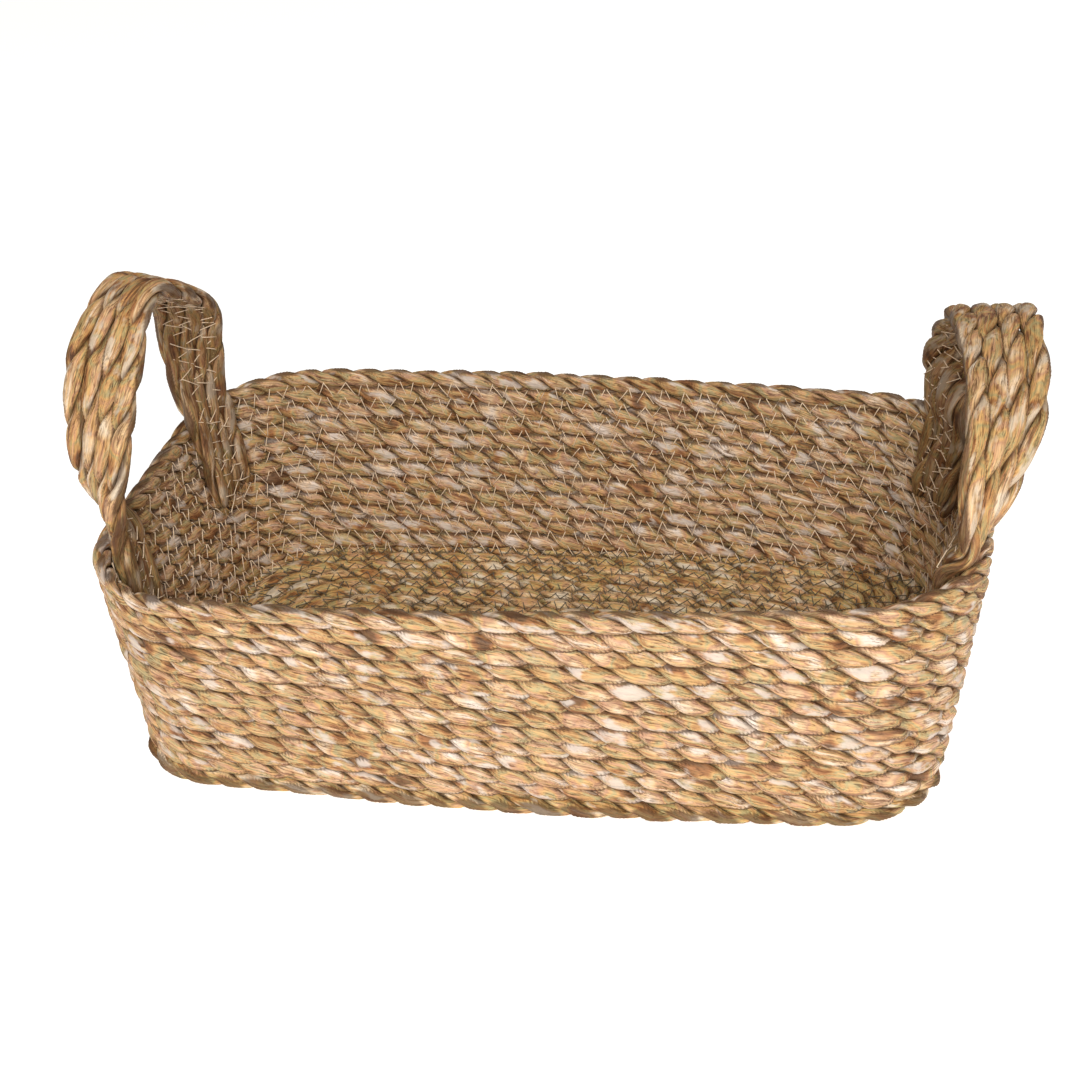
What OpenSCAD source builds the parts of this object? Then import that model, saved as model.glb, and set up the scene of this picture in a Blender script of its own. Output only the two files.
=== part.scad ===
// Bread basket, a flared tray sewn from twisted seagrass rope.
// One long rope is coiled flat into the base, then coiled upwards into the wall.
// Two straps of four ropes each are sewn inside the end walls and arch over as handles.
// The frame: X runs along the basket, Y across it, Z up.
// The origin is in the middle of the base, on the surface that it rests on.

/* [Rope] */
// Thickness of the twisted rope
rope_d = 6.8; // [6.4:0.1:6.8]
// Gap left between neighbouring courses
course_gap = 0.1; // [0.05:0.05:0.3]
// Thickness of the sewing thread
thread_d = 0.9; // [0.5:0.1:1]

/* [Base] */
// Half length of the base, to the middle of its outermost rope
base_half_length = 151.3; // [140:0.1:160]
// Half width of the base at its corners, to the middle of its outermost rope
base_half_width = 81.8; // [75:0.1:90]
// Corner radius of the outermost base course
base_corner_r = 32; // [24:1:36]
// How far the long sides of the base bow outwards
base_bow = 7.3; // [0:0.1:9]
// Courses of rope around the straight run in the middle of the base
base_courses = 12; // [12:1:12]

/* [Wall] */
// Half length of the rim, to the middle of its rope
rim_half_length = 165; // [155:1:175]
// Half width of the rim at its corners, to the middle of its rope
rim_half_width = 85.5; // [82:0.1:95]
// Corner radius of the rim
rim_corner_r = 45; // [35:1:50]
// How far the long sides of the rim bow outwards
rim_bow = 10.4; // [5:0.1:14]
// How far the rim sits towards the right-hand end over the base
rim_shift = 2; // [0:0.5:3]
// Height of the rim rope above the outermost base rope
wall_rise = 82.3; // [82:0.1:86]
// How far two opposite corners of the rim rise and the other two dip
rim_warp = 4.5; // [0:0.1:5]
// Courses of rope in the wall, with the rim
wall_courses = 12; // [12:1:12]

/* [Handles] */
// Spacing of the four ropes across a strap
strap_pitch = 7.1; // [6.8:0.1:7.2]
// Thickness of a handle rope
strap_rope_d = 6; // [5.6:0.1:6]
// Distance from the middle of the wall rope to the middle of the sewn strap
strap_inset = 7.8; // [7.4:0.1:9]
// Height of the left loop above the rim
left_height = 82; // [65:1:85]
// Height of the right loop above the rim
right_height = 62; // [50:1:70]
// Courses of the wall that a strap's foot is sewn down
foot_courses = 5; // [3:1:6]
// Length at the rim where a strap flexes, left free of the foot
flex_gap = 4; // [4:0.1:6]

/* [Hidden] */
rope_r = rope_d / 2;
base_z = rope_r;
base_pitch = base_half_width / base_courses;
core_half_length = base_half_length - base_half_width;
// Gap between the ends of the base's core and the first course around it
core_end_gap = 1;
layer_rise = wall_rise / wall_courses;

// Steps in each rounded corner and each long side of a course
corner_steps = 5;
side_steps = 3;

thread_r = thread_d / 2;
// A seam lies in the groove between two ropes, this far from the line where they meet
seam_depth = 2.5;

strap_ropes = 4;
strap_r = strap_rope_d / 2;
// Steps between two of the points that a loop passes through
curve_steps = 3;
// Steps down a foot
foot_steps = 3;
// Height of the rim's top above its rope's middle, where the straps begin to flex
rim_top = rope_r;
// Middle of each strap's foot, measured along the wall from the middle of the end
left_feet = [-49, 46];
right_feet = [-49, 61];
// Stations that each loop passes through, from its front leg over the top to its back leg.
// Each row has its height as a part of the loop's height, its place along the end wall, how far it leans
// outwards, and the direction from the strap's first rope to its last: the turn from +X towards +Y, and the rise.
left_stations = [
    [0.17, -50, 2, -48, 0],
    [0.42, -52, -0.5, -21, 0],
    [0.8, -34, -2, 5, 0],
    [1, -4, -4, -25, 0],
    [0.69, 42, 0, 0, 0],
    [0.42, 50, 3, 50, 0],
    [0.17, 47.5, 1.5, 75, 0]
];
right_stations = [
    [0.17, -50, 4.5, 75, 0],
    [0.42, -52, 8, 53, 3],
    [0.82, -35, 13, 26, 0],
    [1, 5, 11, 10, 12],
    [0.82, 46, 6, -10, 2],
    [0.42, 62, -4.5, -40, -6],
    [0.17, 61, -8.5, -66, 0]
];

LEFT = -1;
RIGHT = 1;

function two_digits(n) = n < 10 ? str("0", n) : str(n);
function numbered(stem, last) = [for (k = [1:last]) str(stem, two_digits(k))];

// ---- Vectors and curves ----

function lerp(a, b, t) = a + (b - a) * t;
function unit(v) = v / norm(v);
function clamp01(t) = min(1, max(0, t));

// One point of a smooth curve that passes through b and c
function through(a, b, c, d, t) =
    0.5 * (2 * b + (c - a) * t + (2 * a - 5 * b + 4 * c - d) * t * t + (3 * b - a - 3 * c + d) * t * t * t);

// A smooth curve through all the points of a list
function smooth(pts, steps) = let (
    last = len(pts) - 1,
    before = 2 * pts[0] - pts[1],
    after = 2 * pts[last] - pts[last - 1]
) [
    for (i = [0:last - 1])
        for (j = [0:steps - 1])
            through(
                i == 0 ? before : pts[i - 1],
                pts[i],
                pts[i + 1],
                i == last - 1 ? after : pts[i + 2],
                j / steps
            ),
    pts[last]
];

// Direction of a curve at each of its points
function tangents(pts, closed) = let (n = len(pts)) [
    for (i = [0:n - 1]) let (
        next = closed ? pts[(i + 1) % n] : pts[min(i + 1, n - 1)],
        prev = closed ? pts[(i + n - 1) % n] : pts[max(i - 1, 0)]
    ) unit(next - prev)
];

// ---- Outlines ----

// A rounded rectangle with bowed long sides, anticlockwise from the middle of its +X end
function outline(half_l, half_w, r, bow) = let (
    cx = half_l - r,
    cy = half_w - r,
    corner = function(sx, sy, from) [
        for (j = [0:corner_steps])
            let (a = from + 90 * j / corner_steps)
                [sx * cx + r * cos(a), sy * cy + r * sin(a)]
    ],
    long_side = function(s) [
        for (j = [1:side_steps]) [s * lerp(cx, -cx, j / (side_steps + 1)), s * half_w]
    ],
    plain = concat(
        [[half_l, 0]], corner(1, 1, 0), long_side(1), corner(-1, 1, 90),
        [[-half_l, 0]], corner(-1, -1, 180), long_side(-1), corner(1, -1, 270)
    )
) [
    for (p = plain) let (
        lengthwise = 1 - pow(p[0] / half_l, 2),
        sideways = sign(p[1]) * clamp01(2 * abs(p[1]) / half_w - 1)
    ) [p[0], p[1] + bow * lengthwise * sideways]
];

// The base's outline after k courses; whole numbers run along a rope, halves between two ropes
function base_outline(k) = let (
    w = k * base_pitch,
    t = k / base_courses,
    flat = outline(core_half_length + w, w, max(0.01, base_corner_r * t), base_bow * t)
) [for (p = flat) [p[0], p[1], base_z]];

// Height of the wall's layer k above the point x, y
function layer_z(k, x, y) = let (warp = rim_warp * (x / rim_half_length) * (y / rim_half_width))
    base_z + course_gap + k / wall_courses * (wall_rise - warp);

// The wall's outline at layer k, moved inwards by inset
function wall_outline(k, inset = 0) = let (
    t = k / wall_courses,
    flat = outline(
        lerp(base_half_length, rim_half_length, t) - inset,
        lerp(base_half_width, rim_half_width, t) - inset,
        lerp(base_corner_r, rim_corner_r, t) - inset,
        lerp(base_bow, rim_bow, t)
    )
) [for (p = flat) [p[0] + rim_shift * t, p[1], layer_z(k, p[0], p[1])]];

// ---- Swept ropes ----

// Corners of a section with given half axes u and v, its flats touching the ends of both
function section(c, u, v, sides) = let (grow = 1 / cos(180 / sides)) [
    for (j = [0:sides - 1]) let (a = 360 * (j + 0.5) / sides) c + grow * (cos(a) * u + sin(a) * v)
];

function strip(a, b, sides) = [
    for (j = [0:sides - 1]) let (next = (j + 1) % sides) each [
        [a + j, b + j, b + next],
        [a + j, b + next, a + next]
    ]
];

// A rope that closes on itself; us and vs hold its section's half axes, whose cross product points along it
module ring(centres, us, vs, sides = 8) {
    n = len(centres);
    points = [for (i = [0:n - 1]) each section(centres[i], us[i], vs[i], sides)];
    polyhedron(points, [for (i = [0:n - 1]) each strip(i * sides, ((i + 1) % n) * sides, sides)]);
}

// A rope with two cut ends; its half axes turn the same way
module length_of_rope(centres, us, vs, sides = 8) {
    n = len(centres);
    points = [for (i = [0:n - 1]) each section(centres[i], us[i], vs[i], sides)];
    body = [for (i = [0:n - 2]) each strip(i * sides, (i + 1) * sides, sides)];
    start = [for (j = [0:sides - 1]) j];
    end = [for (j = [sides - 1:-1:0]) (n - 1) * sides + j];
    polyhedron(points, concat(body, [start, end]));
}

// ---- Base ----

// Straight start of the rope, in the middle of the base
module base_core() {
    reach = core_half_length + base_pitch / 2 - core_end_gap;
    side = base_pitch / 2 - course_gap / 2;
    color("darkkhaki")
        length_of_rope(
            [[-reach, 0, base_z], [0, 0, base_z], [reach, 0, base_z]],
            [for (i = [0:2]) [0, side, 0]],
            [for (i = [0:2]) [0, 0, rope_r]]
        );
}

// One turn of the coil in the base, as wide as its place between its neighbours
module base_course(k) {
    inner = base_outline(k - 0.5);
    outer = base_outline(k + 0.5);
    across = [for (i = [0:len(inner) - 1]) (outer[i] - inner[i]) / 2];
    color(k % 2 == 0 ? "tan" : "burlywood")
        ring(
            (inner + outer) / 2,
            [for (a = across) [0, 0, rope_r]],
            [for (a = across) unit(a) * (norm(a) - course_gap / 2)]
        );
}

// ---- Wall ----

// Level directions across the wall, pointing outwards
function outwards(path) = [for (t = tangents(path, true)) unit([t[1], -t[0], 0])];

// One turn of the coil in the wall
module wall_course(k) {
    below = wall_outline(k - 0.5);
    above = wall_outline(k + 0.5);
    up = [for (i = [0:len(below) - 1]) (above[i] - below[i]) / 2];
    middle = (below + above) / 2;
    color(k % 2 == 0 ? "tan" : "burlywood")
        ring(
            middle,
            [for (u = up) unit(u) * (norm(u) - course_gap / 2)],
            [for (n = outwards(middle)) n * rope_r]
        );
}

// Last turn of the coil, which makes the rim
module rim_course() {
    wall_course(wall_courses);
}

// ---- Handles ----

// Point against the wall's inner face, s along it from the middle of an end
function beside_wall(side, s, k, inset) = let (
    t = k / wall_courses,
    half_l = lerp(base_half_length, rim_half_length, t),
    half_w = lerp(base_half_width, rim_half_width, t),
    r = lerp(base_corner_r, rim_corner_r, t),
    straight = half_w - r,
    turn = max(0, abs(s) - straight) / (r - inset) * 180 / PI,
    x = side * (half_l - r + (r - inset) * cos(turn)),
    y = sign(s) * (min(abs(s), straight) + (r - inset) * sin(turn))
) [x + rim_shift * t, y, layer_z(k, x, y)];

// Height that the height of a loop is measured from
loop_foot_z = layer_z(wall_courses, 0, 0) + rim_top;

// Offset of rope i from the middle of its strap, in rope spacings
function rope_offset(i) = i - (strap_ropes + 1) / 2;

// Where rope i of a strap crosses the top of the rim, at foot position s
function rim_crossing(side, s, i, sense) =
    beside_wall(side, s + sense * rope_offset(i) * strap_pitch, wall_courses, strap_inset) + [0, 0, rim_top];

// Middle of the strap at one of its stations
function station_middle(side, height, station) = let (
    part_of_height = station[0],
    place = station[1],
    lean = station[2]
) [rim_shift + side * (rim_half_length - strap_inset + lean), place, loop_foot_z + part_of_height * height];

// Direction from the strap's first rope to its last at one of its stations
function station_across(station) = let (
    turn = station[3],
    rise = station[4]
) [cos(turn) * cos(rise), sin(turn) * cos(rise), sin(rise)];

// Points that rope i of a loop passes through, from its front foot over the top to its back foot
function loop_points(side, feet, height, stations, i) = [
    rim_crossing(side, feet[0], i, side),
    for (s = stations) station_middle(side, height, s) + rope_offset(i) * strap_pitch * station_across(s),
    rim_crossing(side, feet[1], i, -side)
];

function loop_curve(side, feet, height, stations, i) =
    smooth(loop_points(side, feet, height, stations, i), curve_steps);

// Directions across a strap, from its first rope to its last
function strap_across(first, last, along) = [
    for (i = [0:len(first) - 1]) let (w = last[i] - first[i]) unit(w - (w * along[i]) * along[i])
];

// One of the four ropes of a loop
module handle_rope(side, feet, height, stations, i) {
    path = loop_curve(side, feet, height, stations, i);
    along = tangents(path, false);
    across = strap_across(
        loop_curve(side, feet, height, stations, 1),
        loop_curve(side, feet, height, stations, strap_ropes),
        along
    );
    color(i % 2 == 0 ? "goldenrod" : "darkgoldenrod")
        length_of_rope(
            path,
            across * strap_r,
            [for (j = [0:len(path) - 1]) cross(along[j], across[j]) * strap_r]
        );
}

// The three seams of a loop, on the inner face of its strap
module loop_stitching(side, feet, height, stations) {
    first = loop_curve(side, feet, height, stations, 1);
    last = loop_curve(side, feet, height, stations, strap_ropes);
    for (i = [1:strap_ropes - 1]) {
        before = loop_curve(side, feet, height, stations, i);
        after = loop_curve(side, feet, height, stations, i + 1);
        middle = (before + after) / 2;
        along = tangents(middle, false);
        across = strap_across(first, last, along);
        inner = [for (j = [0:len(middle) - 1]) cross(along[j], across[j])];
        color("wheat")
            length_of_rope(middle + inner * seam_depth, across * thread_r, inner * thread_r, sides = 4);
    }
}

// Four rope ends sewn flat against the inside of the wall
module foot(side, s, sense) {
    top = wall_courses + (rim_top - flex_gap) / layer_rise;
    bottom = wall_courses - foot_courses;
    for (i = [1:strap_ropes]) {
        place = s + sense * rope_offset(i) * strap_pitch;
        path = [
            for (j = [0:foot_steps]) beside_wall(side, place, lerp(bottom, top, j / foot_steps), strap_inset)
        ];
        inwards = unit(beside_wall(side, place, bottom, strap_inset + 1) - path[0]);
        across = unit(cross(path[foot_steps] - path[0], inwards));
        color("darkgoldenrod")
            length_of_rope(path, [for (p = path) inwards * strap_r], [for (p = path) across * strap_r]);
    }
}

// ---- Stitching ----

// Seams between the base's courses, on its upper face
module base_stitching() {
    for (k = [1:base_courses - 1]) {
        path = [for (p = base_outline(k + 0.5)) p + [0, 0, seam_depth]];
        color("wheat")
            ring(path, [for (p = path) [0, 0, thread_r]], outwards(path) * thread_r, sides = 4);
    }
}

// Seams between the wall's courses, on its inner face
module wall_stitching() {
    for (k = [1:wall_courses - 1]) {
        path = wall_outline(k + 0.5, seam_depth);
        color("wheat")
            ring(path, [for (p = path) [0, 0, thread_r]], outwards(path) * thread_r, sides = 4);
    }
}

// ---- Nodes ----

base_core();
for (k = [1:base_courses])
    base_course(k);
for (k = [1:wall_courses - 1])
    wall_course(k);
rim_course();
for (i = [1:strap_ropes])
    handle_rope(LEFT, left_feet, left_height, left_stations, i);
for (i = [1:strap_ropes])
    handle_rope(RIGHT, right_feet, right_height, right_stations, i);
foot(LEFT, left_feet[0], LEFT);  // left_front_foot
foot(LEFT, left_feet[1], -LEFT);  // left_back_foot
foot(RIGHT, right_feet[0], RIGHT);  // right_front_foot
foot(RIGHT, right_feet[1], -RIGHT);  // right_back_foot
base_stitching();
wall_stitching();
loop_stitching(LEFT, left_feet, left_height, left_stations);  // left_handle_stitching
loop_stitching(RIGHT, right_feet, right_height, right_stations);  // right_handle_stitching
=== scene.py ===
"""Bread basket of coiled two-ply seagrass rope, sewn with zigzag thread, with two four-rope strap handles."""

import math

import bpy
import numpy as np
from mathutils import Matrix, Vector


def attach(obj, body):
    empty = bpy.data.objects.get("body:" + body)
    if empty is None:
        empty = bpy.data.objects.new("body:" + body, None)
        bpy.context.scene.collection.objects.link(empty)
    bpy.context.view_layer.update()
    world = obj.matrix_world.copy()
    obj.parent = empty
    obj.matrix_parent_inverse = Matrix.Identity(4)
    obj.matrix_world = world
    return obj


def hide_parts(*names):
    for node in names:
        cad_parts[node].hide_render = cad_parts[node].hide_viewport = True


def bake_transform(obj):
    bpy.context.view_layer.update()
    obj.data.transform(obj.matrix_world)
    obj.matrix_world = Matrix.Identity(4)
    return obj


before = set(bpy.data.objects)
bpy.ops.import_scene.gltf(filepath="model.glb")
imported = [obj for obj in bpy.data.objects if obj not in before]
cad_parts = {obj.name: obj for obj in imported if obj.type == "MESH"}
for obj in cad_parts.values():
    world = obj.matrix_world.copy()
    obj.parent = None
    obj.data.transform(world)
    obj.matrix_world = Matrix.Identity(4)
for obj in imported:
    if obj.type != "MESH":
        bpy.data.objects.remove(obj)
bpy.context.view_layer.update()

MM = 0.001

# ---- Driving dimensions, in millimetres, as the frame was built ----

BASE_HALF_LENGTH, BASE_HALF_WIDTH, BASE_CORNER_R, BASE_BOW = 151.3, 81.8, 32.0, 7.3
RIM_HALF_LENGTH, RIM_HALF_WIDTH, RIM_CORNER_R, RIM_BOW = 165.0, 85.5, 45.0, 10.4
WALL_RISE, RIM_WARP = 82.3, 4.5
# How far the rim sits towards +X over the base, and how far the wall's first turn clears the base's last
RIM_SHIFT, COURSE_GAP = 2.0, 0.1
COURSES = 12
ROPE_R = 3.4
BASE_Z = ROPE_R
BASE_PITCH = BASE_HALF_WIDTH / COURSES
CORE_HALF_LENGTH = BASE_HALF_LENGTH - BASE_HALF_WIDTH
CORE_END_GAP = 1

STRAP_ROPES = 4
STRAP_PITCH = 7.1
LEAST_SPACING = 0.95 * STRAP_PITCH
STRAP_INSET = 7.8
FOOT_COURSES = 5
# Each handle: which end of the basket, where its feet stand along the wall, its height, and the stations
# that it passes through from its front leg to its back leg. A station has its height as a part of the
# handle's, its place along the end wall, its lean outwards, and the direction from the first rope to the
# last, in degrees: the turn from +X towards +Y, and the rise.
HANDLES = {
    "left_handle": {
        "side": -1,
        "feet": (-49, 46),
        "height": 82,
        "stations": (
            (0.17, -50, 2, -48, 0),
            (0.42, -52, -0.5, -21, 0),
            (0.8, -34, -2, 5, 0),
            (1, -4, -4, -25, 0),
            (0.69, 42, 0, 0, 0),
            (0.42, 50, 3, 50, 0),
            (0.17, 47.5, 1.5, 75, 0),
        ),
    },
    "right_handle": {
        "side": 1,
        "feet": (-49, 61),
        "height": 62,
        "stations": (
            (0.17, -50, 4.5, 75, 0),
            (0.42, -52, 8, 53, 3),
            (0.82, -35, 13, 26, 0),
            (1, 5, 11, 10, 12),
            (0.82, 46, 6, -10, 2),
            (0.42, 62, -4.5, -40, -6),
            (0.17, 61, -8.5, -66, 0),
        ),
    },
}

# ---- The rope ----

# Spacing of the rings along a ply, and the corners of each ring
ROPE_STEP = 1.4
PLY_SIDES = 16
# Length of rope in which its plies turn once
TWIST_PITCH = 27.0
HANDLE_TWIST_PITCH = 44.0
# Half thickness of a course between its two open faces, flattened in the base
BASE_HALF_THICK, WALL_HALF_THICK = ROPE_R * 0.96, ROPE_R * 1.02
# Length in which a cut end tapers
TAPER_LENGTH = 9
# Radius at which the leaf pattern is wrapped around a ply
GRAIN_R = 2.2
# Where a ply's middle lies and its half sizes, as shares of the rope's radius
PLY_MIDDLE, PLY_RADIAL, PLY_TANGENTIAL = 0.47, 0.56, 0.76
# How much longer than its share a ply stays on the faces of the rope, where no neighbour presses on it
DWELL = 0.5
# How far the ropes are pressed into each other at their seams, as a multiple of the rope's half width
BASE_PRESS, WALL_PRESS, RIM_PRESS, HANDLE_PRESS = 1.32, 1.36, 1.15, 1.22
# How much painted shade darkens the inner faces of the handles
HANDLE_INNER_SHADE = 0.42
# How quickly the painted shade deepens towards the seams with its neighbours
SEAM_SHADE = 2.4

# Broken leaf ends on the inner wall, and at each cut end of a foot
LOOSE_FIBRES = 320
FIBRES_PER_END = 4

rng = np.random.default_rng(20240611)


# ---- Small vector helpers ----


def unit(v):
    """Vectors along the last axis, scaled to length 1."""
    return v / np.maximum(np.linalg.norm(v, axis=-1, keepdims=True), 1e-12)


def lerp(a, b, t):
    return a + (b - a) * t


def tangents(path, closed):
    """Direction of a path at each of its points."""
    if closed:
        return unit(np.roll(path, -1, 0) - np.roll(path, 1, 0))
    return unit(np.gradient(path, axis=0))


def arc_length(path):
    return np.concatenate([[0], np.cumsum(np.linalg.norm(np.diff(path, axis=0), axis=1))])


def resample(path, others, step, closed):
    """The path at even steps, with arrays that belong to its points carried along.

    A closed path's last point isn't its first.
    """
    arrays = [path] + list(others)
    if closed:
        arrays = [np.concatenate([a, a[:1]]) for a in arrays]
    s = arc_length(arrays[0])
    count = max(8, round(s[-1] / step))
    at = np.linspace(0, s[-1], count + 1)
    if closed:
        at = at[:-1]
    out = [np.stack([np.interp(at, s, a[:, c]) for c in range(a.shape[1])], -1) for a in arrays]
    return out[0], out[1:], at, s[-1]


def drift(at, length, wavelength, closed):
    """Smooth random values, about -1 to 1, at each place along a path."""
    knots = max(4, round(length / wavelength))
    values = rng.uniform(-1, 1, knots)
    place = at / length * (knots if closed else knots - 1)
    i = np.floor(place).astype(int)
    t = place - i
    t = t * t * (3 - 2 * t)
    if closed:
        return lerp(values[i % knots], values[(i + 1) % knots], t)
    i = np.minimum(i, knots - 1)
    return lerp(values[i], values[np.minimum(i + 1, knots - 1)], t)


# ---- Outlines of the basket ----


def outline(half_l, half_w, r, bow, corner_steps=24, side_steps=40):
    """A rounded rectangle with bowed long sides, anticlockwise from the middle of its +X end."""
    cx, cy = half_l - r, half_w - r

    def corner(sx, sy, start):
        a = np.radians(np.linspace(start, start + 90, corner_steps))
        return np.stack([sx * cx + r * np.cos(a), sy * cy + r * np.sin(a)], -1)

    def line(x0, y0, x1, y1, steps):
        t = np.linspace(0, 1, steps + 2)[1:-1, None]
        return np.array([[x0, y0]]) + t * np.array([[x1 - x0, y1 - y0]])

    flat = np.concatenate(
        [
            line(half_l, -cy, half_l, cy, side_steps)[side_steps // 2 :],
            corner(1, 1, 0),
            line(cx, half_w, -cx, half_w, side_steps),
            corner(-1, 1, 90),
            line(-half_l, cy, -half_l, -cy, side_steps),
            corner(-1, -1, 180),
            line(-cx, -half_w, cx, -half_w, side_steps),
            corner(1, -1, 270),
            line(half_l, -cy, half_l, cy, side_steps)[: side_steps // 2],
        ]
    )
    x, y = flat[:, 0], flat[:, 1]
    on_long_side = np.clip(2 * np.abs(y) / half_w - 1, 0, 1) * np.sign(y)
    return np.stack([x, y + bow * (1 - (x / half_l) ** 2) * on_long_side], -1)


def base_outline(k):
    """The base's outline after k courses, in three dimensions."""
    w, t = k * BASE_PITCH, k / COURSES
    flat = outline(CORE_HALF_LENGTH + w, w, max(0.01, BASE_CORNER_R * t), BASE_BOW * t)
    return np.column_stack([flat, np.full(len(flat), BASE_Z)])


def layer_z(k, x, y):
    """Height of the wall's layer k above a point."""
    warp = RIM_WARP * (x / RIM_HALF_LENGTH) * (y / RIM_HALF_WIDTH)
    return BASE_Z + COURSE_GAP + k / COURSES * (WALL_RISE - warp)


def wall_outline(k, inset=0.0):
    """The wall's outline at layer k, moved inwards by inset."""
    t = k / COURSES
    flat = outline(
        lerp(BASE_HALF_LENGTH, RIM_HALF_LENGTH, t) - inset,
        lerp(BASE_HALF_WIDTH, RIM_HALF_WIDTH, t) - inset,
        lerp(BASE_CORNER_R, RIM_CORNER_R, t) - inset,
        lerp(BASE_BOW, RIM_BOW, t),
    )
    return np.column_stack([flat + [RIM_SHIFT * t, 0], layer_z(k, flat[:, 0], flat[:, 1])])


def inwards(path):
    """Level directions across a closed anticlockwise path, pointing to its inside."""
    t = tangents(path, True)
    return unit(np.stack([-t[:, 1], t[:, 0], np.zeros(len(t))], -1))


# ---- Meshes ----


class Shape:
    """Vertices and faces of one piece, in millimetres, with the material's own coordinates at each vertex."""

    def __init__(self):
        self.points, self.quads, self.caps, self.grain, self.painted_shade = [], [], [], [], []
        self.count = 0

    def tube(self, rings, closed, grain, painted_shade=None):
        """Joins rings of corners into a tube; rings and grain have the ring, the corner, then x, y and z."""
        n, m = rings.shape[:2]
        i = np.arange(n if closed else n - 1)[:, None]
        j = np.arange(m)[None, :]
        a, b = self.count + (i % n) * m, self.count + ((i + 1) % n) * m
        k = (j + 1) % m
        self.quads.append(np.stack([a + j, a + k, b + k, b + j], -1).reshape(-1, 4))
        if not closed:
            self.caps.append(self.count + np.arange(m)[::-1])
            self.caps.append(self.count + (n - 1) * m + np.arange(m))
        self.points.append(rings.reshape(-1, 3))
        self.grain.append(grain.reshape(-1, 3))
        self.painted_shade.append(np.zeros(n * m) if painted_shade is None else painted_shade.reshape(-1))
        self.count += n * m

    def build(self, name, material):
        points = np.concatenate(self.points) * MM
        faces = np.concatenate(self.quads).tolist() + [c.tolist() for c in self.caps]
        mesh = bpy.data.meshes.new(name)
        mesh.from_pydata(points.tolist(), [], faces)
        mesh.attributes.new("grain", "FLOAT_VECTOR", "POINT").data.foreach_set(
            "vector", (np.concatenate(self.grain) * MM).astype(np.float32).ravel()
        )
        # Painted shade for each vertex, which the material mixes into the colour as dark brown
        mesh.attributes.new("painted_shade", "FLOAT", "POINT").data.foreach_set(
            "value", np.concatenate(self.painted_shade).astype(np.float32)
        )
        mesh.polygons.foreach_set("use_smooth", np.ones(len(faces), bool))
        mesh.materials.append(material)
        mesh.validate()
        piece = bpy.data.objects.new(name, mesh)
        bpy.context.scene.collection.objects.link(piece)
        return piece


def add_rope(
    shape,
    path,
    face,
    half_face,
    half_across,
    press,
    closed,
    pitch=TWIST_PITCH,
    loose=0.4,
    tapered=False,
    open_face_shade=0.0,
):
    """Sweeps two right-hand twisted plies along a path.

    face points across the path to the rope's open face.
    half_face and half_across are the rope's half sizes that way and sideways, to its neighbours' seams.
    press is how far it is pressed into them, as a multiple of half_across.
    The last argument is how much painted shade darkens its open face.
    """
    halves = np.stack([half_face, half_across], -1)
    path, (face, halves), at, length = resample(path, (face, halves), ROPE_STEP, closed)
    across = unit(np.cross(tangents(path, closed), face))
    face = np.cross(across, tangents(path, closed))
    stray_out, stray_across = drift(at, length, 45, closed), drift(at, length, 38, closed)
    path = path + loose * (stray_out[:, None] * face + stray_across[:, None] * across)
    swell = 1 + 0.07 * drift(at, length, 28, closed)
    if tapered:
        swell = swell * np.clip(np.minimum(at, length - at) / TAPER_LENGTH, 0, 1) ** 0.45 + 0.05
    u = face * halves[:, :1] * swell[:, None]
    v = across * halves[:, 1:] * swell[:, None] * press
    turns = max(1, round(length / pitch))
    turn = rng.uniform(0, 2 * math.pi) + 2 * math.pi * turns * at / length
    turn = turn + 0.9 * drift(at, length, 55, closed) + 0.3 * drift(at, length, 20, closed)
    turn = turn - DWELL / 2 * np.sin(2 * turn)
    theta = 2 * math.pi * np.arange(PLY_SIDES) / PLY_SIDES
    for ply in (0, 1):
        a = (turn + math.pi * ply)[:, None]
        radial = np.cos(a) * u + np.sin(a) * v
        tangential = -np.sin(a) * u + np.cos(a) * v
        thick = 1 + 0.13 * drift(at, length, 22, closed) + 0.06 * drift(at, length, 8, closed)
        # The leaves are laid the other way from the rope's twist, so that they run along the rope
        lay = theta + a
        folds = 0.05 * np.cos(3 * lay + rng.uniform(0, 6)) + 0.04 * np.cos(5 * lay + rng.uniform(0, 6))
        g = thick[:, None] + folds
        x = PLY_MIDDLE + PLY_RADIAL * np.cos(theta) * g
        y = PLY_TANGENTIAL * np.sin(theta) * g
        rings = path[:, None] + x[..., None] * radial[:, None] + y[..., None] * tangential[:, None]
        rings[..., 2] = np.maximum(rings[..., 2], 0)
        grain = np.stack(
            [
                np.broadcast_to((at + 1000 * rng.uniform(0, 40))[:, None], x.shape),
                GRAIN_R * np.cos(lay) * g,
                GRAIN_R * np.sin(lay) * g,
            ],
            -1,
        )
        # Painted shade: darker in the groove between the two plies and towards the seams with the
        # neighbouring ropes, where shade falls
        beside_seam = press * np.abs(x * np.sin(a) + y * np.cos(a))
        painted_shade = np.maximum(1 - np.hypot(x, y), SEAM_SHADE * (beside_seam - 0.8))
        # Painted shade on the rope's open face, which on the handles stands for the shade under their arches
        painted_shade = np.maximum(painted_shade, open_face_shade * (x * np.cos(a) - y * np.sin(a)))
        shape.tube(rings, closed, grain, np.clip(painted_shade, 0, 1))


def fine_tube(shape, points, radius, sides=5):
    """A thin thread or fibre through a few points; radius may be one value or one for each point."""
    points = np.asarray(points, float)
    t = tangents(points, False)
    helper = np.where(np.abs(t[:, 2:]) < 0.8, np.array([[0, 0, 1.0]]), np.array([[1.0, 0, 0]]))
    a = unit(np.cross(t, helper))
    b = np.cross(t, a)
    theta = 2 * math.pi * np.arange(sides) / sides
    r = np.broadcast_to(np.asarray(radius, float), (len(points),))[:, None, None]
    cos, sin = np.cos(theta)[None, :, None], np.sin(theta)[None, :, None]
    rings = points[:, None] + r * (cos * a[:, None] + sin * b[:, None])
    grain = np.zeros(rings.shape)
    grain[..., 0] = arc_length(points)[:, None] + rng.uniform(0, 1000)
    shape.tube(rings, False, grain)


# ---- Courses of the coil ----


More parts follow.
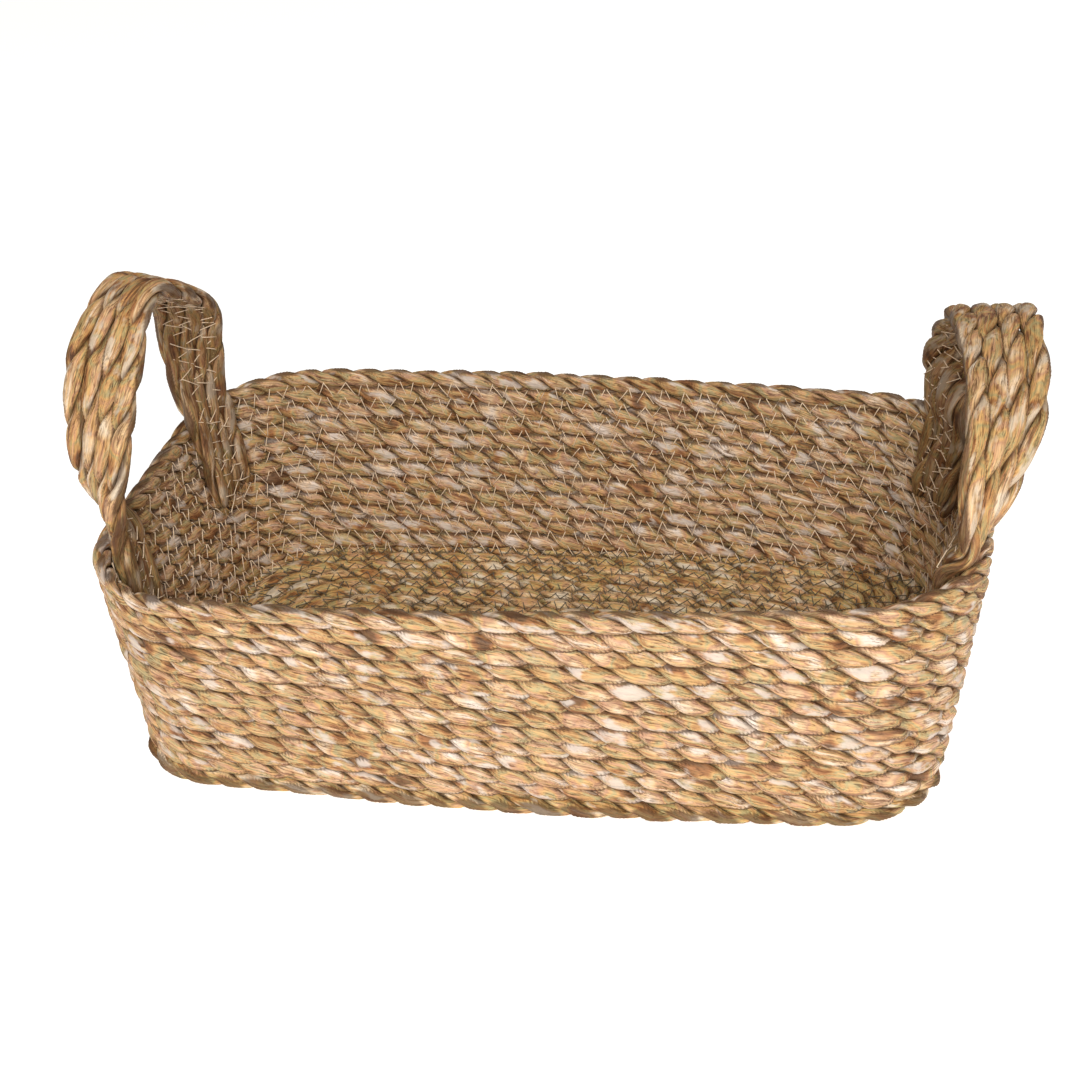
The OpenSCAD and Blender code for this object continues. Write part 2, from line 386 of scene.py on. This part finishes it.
def straight_core(shape):
    """The rope's straight start in the middle of the base."""
    reach = CORE_HALF_LENGTH + BASE_PITCH / 2 - CORE_END_GAP
    x = np.linspace(-reach, reach, 80)
    path = np.stack([x, 0 * x, 0 * x + BASE_Z], -1)
    up = np.tile([0, 0, 1.0], (len(x), 1))
    half_thick = np.full(len(x), BASE_HALF_THICK)
    half_width = np.full(len(x), BASE_PITCH / 2)
    add_rope(shape, path, up, half_thick, half_width, BASE_PRESS, closed=False, loose=0.1)


def base_course(shape, k):
    """One flat turn of the coil, as wide as its place between its neighbours."""
    inner, outer = base_outline(k - 0.5), base_outline(k + 0.5)
    path = (inner + outer) / 2
    up = np.tile([0, 0, 1.0], (len(path), 1))
    half_thick = np.full(len(path), BASE_HALF_THICK)
    half_width = np.linalg.norm(outer - inner, axis=1) / 2
    add_rope(shape, path, up, half_thick, half_width, BASE_PRESS, closed=True, loose=0.15)


def wall_course(shape, k):
    """One turn of the coil in the wall."""
    below, above = wall_outline(k - 0.5), wall_outline(k + 0.5)
    path = (below + above) / 2
    half_thick = np.full(len(path), WALL_HALF_THICK)
    half_height = np.linalg.norm(above - below, axis=1) / 2
    press = RIM_PRESS if k == COURSES else WALL_PRESS
    add_rope(shape, path, inwards(path), half_thick, half_height, press, closed=True)


# ---- Handles ----


def beside_wall(side, s, k, inset):
    """Point against the wall's inner face, s along it from the middle of an end."""
    t = k / COURSES
    half_l = lerp(BASE_HALF_LENGTH, RIM_HALF_LENGTH, t)
    half_w = lerp(BASE_HALF_WIDTH, RIM_HALF_WIDTH, t)
    r = lerp(BASE_CORNER_R, RIM_CORNER_R, t)
    straight = half_w - r
    turn = max(0, abs(s) - straight) / (r - inset)
    x = side * (half_l - r + (r - inset) * math.cos(turn))
    y = math.copysign(min(abs(s), straight) + (r - inset) * math.sin(turn), s)
    return np.array([x + RIM_SHIFT * t, y, layer_z(k, x, y)])


def rope_offset(i):
    """Place of rope i, 1 to 4, across its strap, in rope spacings."""
    return i - (STRAP_ROPES + 1) / 2


def rim_crossing(side, s, i, sense):
    return beside_wall(side, s + sense * rope_offset(i) * STRAP_PITCH, COURSES, STRAP_INSET) + [0, 0, ROPE_R]


def foot_points(side, s, i, sense):
    """Down one foot, from just below the rim to its cut end."""
    along = s + sense * rope_offset(i) * STRAP_PITCH
    layers = np.linspace(COURSES - 1.2, COURSES - FOOT_COURSES, 4)
    return [beside_wall(side, along, k, STRAP_INSET) for k in layers]


def station_point(side, height, station, i):
    """Where rope i passes one station of its handle."""
    part, place_along, lean, turn, rise = station
    turn, rise = math.radians(turn), math.radians(rise)
    x = RIM_SHIFT + side * (RIM_HALF_LENGTH - STRAP_INSET + lean)
    z = layer_z(COURSES, 0, 0) + ROPE_R + part * height
    across = np.array([math.cos(turn) * math.cos(rise), math.sin(turn) * math.cos(rise), math.sin(rise)])
    return np.array([x, place_along, z]) + rope_offset(i) * STRAP_PITCH * across


def strap_rope_points(side, feet, height, stations, i):
    """Points that rope i of a handle passes through, from its front foot over the top to its back foot."""
    return (
        foot_points(side, feet[0], i, side)[::-1]
        + [rim_crossing(side, feet[0], i, side)]
        + [station_point(side, height, station, i) for station in stations]
        + [rim_crossing(side, feet[1], i, -side)]
        + foot_points(side, feet[1], i, -side)
    )


def smooth_curve(points, steps=30):
    """A smooth curve through all the points."""
    p = np.array(points)
    p = np.concatenate([[2 * p[0] - p[1]], p, [2 * p[-1] - p[-2]]])
    a, b, c, d = p[:-3, None], p[1:-2, None], p[2:-1, None], p[3:, None]
    t = (np.arange(steps) / steps)[None, :, None]
    curve = 0.5 * (2 * b + (c - a) * t + (2 * a - 5 * b + 4 * c - d) * t**2 + (3 * b - a - 3 * c + d) * t**3)
    return np.concatenate([curve.reshape(-1, 3), p[-2:-1]])


def strap_curves(handle):
    """Middle lines of a handle's ropes, matched point for point."""
    h = HANDLES[handle]
    return [
        smooth_curve(strap_rope_points(h["side"], h["feet"], h["height"], h["stations"], i))
        for i in range(1, STRAP_ROPES + 1)
    ]


def strap_frames(curves, path):
    """Directions across a strap and out of its inner face along one path, and half its ropes' spacing."""
    t = tangents(path, False)
    w = curves[-1] - curves[0]
    w = w - (w * t).sum(-1, keepdims=True) * t
    across = unit(w)
    return across, np.cross(t, across), np.linalg.norm(w, axis=1) / (STRAP_ROPES - 1) / 2


def handle_rope(shape, curves, i):
    path = curves[i - 1]
    _, inner, half_spacing = strap_frames(curves, path)
    half_face = np.full(len(path), ROPE_R)
    half_across = np.maximum(half_spacing, LEAST_SPACING / 2)
    add_rope(
        shape,
        path,
        inner,
        half_face,
        half_across,
        HANDLE_PRESS,
        closed=False,
        pitch=HANDLE_TWIST_PITCH,
        tapered=True,
        open_face_shade=HANDLE_INNER_SHADE,
    )


# ---- Stitching ----


def zigzag(shape, path, across, outwards, step, run, reach, lift, closed, radius=0.21):
    """Sewing thread over a seam: separate slanting stitches, each going into the rope at both of its ends.

    Stitches follow each other at each step; run and reach are how far one goes along and across the seam.
    lift is how far its middle stands off the seam.
    """
    path, (across, outwards), _, _ = resample(path, (across, outwards), step, closed)
    along, across, outwards = tangents(path, closed), unit(across), unit(outwards)
    dip = 0.9
    for i in range(len(path)):
        lean = (1 if i % 2 else -1) * run / 2 * rng.uniform(0.4, 1.5)
        shift, sink = rng.uniform(-0.3, 0.3) * step, rng.uniform(0, 0.9)
        middle = path[i] + along[i] * shift + outwards[i] * (lift - sink)
        top = middle + along[i] * lean + across[i] * reach * rng.uniform(0.7, 1.1)
        bottom = middle - along[i] * lean - across[i] * reach * rng.uniform(0.7, 1.1)
        fine_tube(shape, [top - outwards[i] * dip, top, middle, bottom, bottom - outwards[i] * dip], radius)


def fibre(shape, start, heading, length, sag, radius):
    """One loose end of leaf that leaves the rope at start and curls downwards."""
    t = np.linspace(0, 1, 5)[:, None]
    points = start + heading * length * t + np.array([0, 0, -sag]) * t**2
    points = points + rng.normal(0, 0.12, points.shape) * t * length / 3
    fine_tube(shape, points, radius * np.linspace(1, 0.3, 5))


# ---- Materials ----


def node_tree(material):
    material.use_nodes = True
    tree = material.node_tree
    tree.nodes.clear()
    out = tree.nodes.new("ShaderNodeOutputMaterial")
    bsdf = tree.nodes.new("ShaderNodeBsdfPrincipled")
    tree.links.new(bsdf.outputs["BSDF"], out.inputs["Surface"])
    return tree, bsdf


def stretched_noise(tree, source, scale, detail=4, distortion=0.0):
    """Noise on the grain coordinates, stretched by the three scales."""
    stretch = tree.nodes.new("ShaderNodeVectorMath")
    stretch.operation = "MULTIPLY"
    tree.links.new(source, stretch.inputs[0])
    stretch.inputs[1].default_value = scale
    noise = tree.nodes.new("ShaderNodeTexNoise")
    noise.inputs["Scale"].default_value = 1
    noise.inputs["Detail"].default_value = detail
    noise.inputs["Distortion"].default_value = distortion
    tree.links.new(stretch.outputs[0], noise.inputs["Vector"])
    return noise.outputs["Fac"]


def ramp(tree, value, stops):
    node = tree.nodes.new("ShaderNodeValToRGB")
    elements = node.color_ramp.elements
    while len(elements) > 1:
        elements.remove(elements[-1])
    elements[0].position, elements[0].color = stops[0][0], (*stops[0][1], 1)
    for position, colour in stops[1:]:
        elements.new(position).color = (*colour, 1)
    tree.links.new(value, node.inputs["Fac"])
    return node.outputs["Color"]


def blend_colours(tree, kind, amount, a, b):
    mix = tree.nodes.new("ShaderNodeMix")
    mix.data_type = "RGBA"
    mix.blend_type = kind
    for value, socket in ((amount, mix.inputs["Factor"]), (a, mix.inputs["A"]), (b, mix.inputs["B"])):
        if isinstance(value, bpy.types.NodeSocket):
            tree.links.new(value, socket)
        elif isinstance(value, (int, float)):
            socket.default_value = value
        else:
            socket.default_value = (*value, 1)
    return mix.outputs["Result"]


def map_range(tree, value, low, high, to_low, to_high):
    node = tree.nodes.new("ShaderNodeMapRange")
    tree.links.new(value, node.inputs["Value"])
    for name, number in (("From Min", low), ("From Max", high), ("To Min", to_low), ("To Max", to_high)):
        node.inputs[name].default_value = number
    return node.outputs["Result"]


def attribute(tree, name, output):
    node = tree.nodes.new("ShaderNodeAttribute")
    node.attribute_name = name
    return node.outputs[output]


# Leaves, darkest first: brown, russet, gold, grey green, honey, pinkish, straw, near white
LEAF_COLOURS = [
    (0.30, (0.14, 0.065, 0.025)),
    (0.37, (0.38, 0.17, 0.065)),
    (0.43, (0.66, 0.43, 0.18)),
    (0.47, (0.44, 0.42, 0.23)),
    (0.51, (0.74, 0.48, 0.21)),
    (0.55, (0.56, 0.33, 0.22)),
    (0.60, (0.78, 0.58, 0.35)),
    (0.68, (0.88, 0.82, 0.75)),
]


def seagrass(name, tint):
    """Dried twisted seagrass: leaves of several colours, fine fibres and creases, with painted shade in the
    creases, in the grooves, at the seams and on the open faces that the ropes mark for it.
    """
    material = bpy.data.materials.new(name)
    tree, bsdf = node_tree(material)
    grain = attribute(tree, "grain", "Vector")
    bundle = ramp(tree, stretched_noise(tree, grain, (70, 130, 130), detail=2), LEAF_COLOURS)
    leaf_value = stretched_noise(tree, grain, (38, 420, 420), detail=2.5, distortion=0.4)
    wrapped = map_range(tree, stretched_noise(tree, grain, (60, 300, 300), detail=1), 0.46, 0.54, 0.1, 0.8)
    colour = blend_colours(tree, "MIX", wrapped, bundle, ramp(tree, leaf_value, LEAF_COLOURS))
    streak = stretched_noise(tree, grain, (110, 2600, 2600), detail=3)
    streaks = ramp(tree, streak, [(0.30, (0.40, 0.33, 0.27)), (0.48, (1, 1, 1)), (0.70, (1.3, 1.27, 1.23))])
    colour = blend_colours(tree, "MULTIPLY", 0.9, colour, streaks)
    # Crease lines, darkened with painted shade in them; the same noise dents the bump
    crease = stretched_noise(tree, grain, (170, 1150, 1150), detail=4, distortion=1.2)
    creased = ramp(tree, crease, [(0.34, (0.32, 0.24, 0.17)), (0.46, (1, 1, 1)), (0.62, (1.12, 1.1, 1.07))])
    colour = blend_colours(tree, "MULTIPLY", 0.85, colour, creased)
    bleached = map_range(tree, stretched_noise(tree, grain, (95, 260, 260), detail=3), 0.57, 0.66, 0, 0.75)
    colour = blend_colours(tree, "MIX", bleached, colour, (0.82, 0.77, 0.70))
    # Painted shade: dark brown mixed in where the ropes' painted shade attribute is high
    shade = map_range(tree, attribute(tree, "painted_shade", "Fac"), 0.2, 0.55, 0, 0.75)
    colour = blend_colours(tree, "MIX", shade, colour, (0.08, 0.035, 0.012))
    colour = blend_colours(tree, "MULTIPLY", 1.0, colour, tint)
    tree.links.new(colour, bsdf.inputs["Base Color"])
    tree.links.new(map_range(tree, streak, 0.3, 0.7, 0.75, 0.45), bsdf.inputs["Roughness"])
    bsdf.inputs["Specular IOR Level"].default_value = 0.35
    relief = blend_colours(tree, "MIX", 0.5, blend_colours(tree, "MIX", 0.5, streak, leaf_value), crease)
    bump = tree.nodes.new("ShaderNodeBump")
    bump.inputs["Strength"].default_value = 0.9
    bump.inputs["Distance"].default_value = 0.0014
    tree.links.new(relief, bump.inputs["Height"])
    tree.links.new(bump.outputs["Normal"], bsdf.inputs["Normal"])
    return material


def thread_material(name, colour):
    """Plied sewing thread with a slight sheen."""
    material = bpy.data.materials.new(name)
    tree, bsdf = node_tree(material)
    grain = attribute(tree, "grain", "Vector")
    ply = stretched_noise(tree, grain, (900, 900, 900), detail=2)
    dark = tuple(c * 0.7 for c in colour)
    tree.links.new(ramp(tree, ply, [(0.35, dark), (0.6, colour)]), bsdf.inputs["Base Color"])
    tree.links.new(map_range(tree, ply, 0.3, 0.7, 0.6, 0.4), bsdf.inputs["Roughness"])
    bsdf.inputs["Sheen Weight"].default_value = 0.2
    return material


wall_material = seagrass("wall_seagrass", (0.82, 0.75, 0.71))
base_material = seagrass("base_seagrass", (0.95, 0.88, 0.74))
handle_material = seagrass("handle_seagrass", (0.74, 0.64, 0.52))
wall_thread = thread_material("wall_thread", (0.90, 0.68, 0.46))
base_thread = thread_material("base_thread", (0.10, 0.075, 0.035))

# ---- Pieces ----


def place(shape, name, material, body, material_slot, *nodes):
    piece = shape.build(name, material)
    if body:
        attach(piece, body)
    if nodes:
        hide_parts(*nodes)
    return piece


def build_base():
    core = Shape()
    straight_core(core)
    place(core, "core_rope", base_material, "basket", "base_rope", "base_core")
    for k in range(1, COURSES + 1):
        turn = Shape()
        base_course(turn, k)
        place(turn, f"base_rope_{k:02d}", base_material, "basket", "base_rope", f"base_course_{k:02d}")
    seams = Shape()
    for k in range(1, COURSES):
        path = base_outline(k + 0.5)
        up = np.tile([0, 0, 1.0], (len(path), 1))
        zigzag(seams, path, inwards(path), up, step=3.2, run=3.2, reach=3.2, lift=ROPE_R + 0.2, closed=True)
    place(seams, "base_zigzag_thread", base_thread, "basket", "thread", "base_stitching")


def build_wall():
    for k in range(1, COURSES + 1):
        turn = Shape()
        wall_course(turn, k)
        node = "rim_course" if k == COURSES else f"wall_course_{k:02d}"
        name = "rim_rope" if k == COURSES else f"wall_rope_{k:02d}"
        place(turn, name, wall_material, "basket", "wall_rope", node)
    seams = Shape()
    for k in range(0, COURSES):
        path = wall_outline(k + 0.5)
        up = wall_outline(k + 1) - wall_outline(k)
        zigzag(seams, path, up, inwards(path), step=4.2, run=2.8, reach=3.1, lift=ROPE_R + 0.35, closed=True)
    place(seams, "wall_zigzag_thread", wall_thread, "basket", "thread", "wall_stitching")


def build_fibres():
    """Broken leaf ends that stand off the wall's inner face and hang from the cut ends of the feet."""
    loose = Shape()
    for k in rng.uniform(1, COURSES, LOOSE_FIBRES):
        path = wall_outline(k)
        i = rng.integers(len(path))
        off = inwards(path)[i]
        along = tangents(path, True)[i] * rng.choice([-1, 1])
        heading = unit(along + off * rng.uniform(0.1, 0.35) + np.array([0, 0, rng.uniform(-0.3, 0.3)]))
        start = path[i] + off * (ROPE_R + 0.1)
        fibre(loose, start, heading, rng.uniform(3, 7), rng.uniform(0, 1.0), rng.uniform(0.12, 0.2))
    for h in HANDLES.values():
        for s, sense in zip(h["feet"], (h["side"], -h["side"])):
            for i in range(1, STRAP_ROPES + 1):
                end = foot_points(h["side"], s, i, sense)[-1]
                for _ in range(FIBRES_PER_END):
                    heading = unit(rng.normal(0, 0.5, 3) + np.array([-0.25 * h["side"], 0, -1.2]))
                    fibre(loose, end + [0, 0, 1.5], heading, rng.uniform(3, 6.5), 0.3, rng.uniform(0.2, 0.4))
    place(loose, "loose_fibres", handle_material, "basket", "handle_rope")


def build_handle(handle):
    curves = strap_curves(handle)
    side = handle.split("_")[0]
    feet = (f"{side}_front_foot", f"{side}_back_foot")
    for i in range(1, STRAP_ROPES + 1):
        rope = Shape()
        handle_rope(rope, curves, i)
        replaced = (f"{handle}_rope_{i:02d}",) + (feet if i == 1 else ())
        piece = place(rope, f"{handle}_strand_{i}", handle_material, None, "handle_rope", *replaced)
        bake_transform(piece)
    seams = Shape()
    for i in range(1, STRAP_ROPES):
        path = (curves[i - 1] + curves[i]) / 2
        across, inner, _ = strap_frames(curves, path)
        zigzag(seams, path, across, inner, step=4.4, run=3.4, reach=4.2, lift=ROPE_R + 0.2, closed=False)
    piece = place(seams, f"{handle}_thread", wall_thread, None, "thread", f"{handle}_stitching")
    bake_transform(piece)


build_base()
build_wall()
build_fibres()
for name in HANDLES:
    build_handle(name)

# ---- Floor, light and camera ----


def build_stage():
    bpy.ops.mesh.primitive_plane_add(size=40, location=(0, 0, -0.0002))
    floor = bpy.context.object
    floor.name = "studio_floor"
    material = bpy.data.materials.new("studio_floor")
    _, bsdf = node_tree(material)
    bsdf.inputs["Base Color"].default_value = (0.92, 0.92, 0.92, 1)
    bsdf.inputs["Roughness"].default_value = 0.9
    bsdf.inputs["Emission Color"].default_value = (1, 1, 1, 1)
    bsdf.inputs["Emission Strength"].default_value = 0.5
    floor.data.materials.append(material)


def area_light(name, location, target, size, power):
    data = bpy.data.lights.new(name, "AREA")
    data.shape = "DISK"
    data.size = size
    data.energy = power
    light = bpy.data.objects.new(name, data)
    light.location = location
    direction = Vector(target) - Vector(location)
    light.rotation_euler = direction.to_track_quat("-Z", "Y").to_euler()
    bpy.context.scene.collection.objects.link(light)


def build_lights():
    world = bpy.data.worlds.new("studio")
    bpy.context.scene.world = world
    world.use_nodes = True
    background = world.node_tree.nodes["Background"]
    background.inputs["Color"].default_value = (1, 0.96, 0.9, 1)
    background.inputs["Strength"].default_value = 0.49
    area_light("key", (0.33, -1.28, 0.95), (0, 0, 0.05), 0.6, 21.5)


def build_camera():
    """Camera above the front right, at the place and turn that the object's outlines give."""
    azimuth, elevation, roll = math.radians(14.57), math.radians(29.62), math.radians(-5.36)
    location = Vector((0.1541, -0.6024, 0.4169))
    back = Vector(
        (
            math.sin(azimuth) * math.cos(elevation),
            -math.cos(azimuth) * math.cos(elevation),
            math.sin(elevation),
        )
    )
    right = (-back).cross(Vector((0, 0, 1))).normalized()
    up = right.cross(-back)
    rolled_right = math.cos(roll) * right + math.sin(roll) * up
    rolled_up = -math.sin(roll) * right + math.cos(roll) * up
    data = bpy.data.cameras.new("camera")
    data.sensor_width = 36
    data.lens = 60.5
    data.clip_start = 0.01
    camera = bpy.data.objects.new("camera", data)
    turned = Matrix((rolled_right, rolled_up, back)).transposed().to_4x4()
    camera.matrix_world = Matrix.Translation(location) @ turned
    bpy.context.scene.collection.objects.link(camera)
    bpy.context.scene.camera = camera


build_stage()
build_lights()
build_camera()
bpy.context.scene.view_settings.view_transform = "Standard"
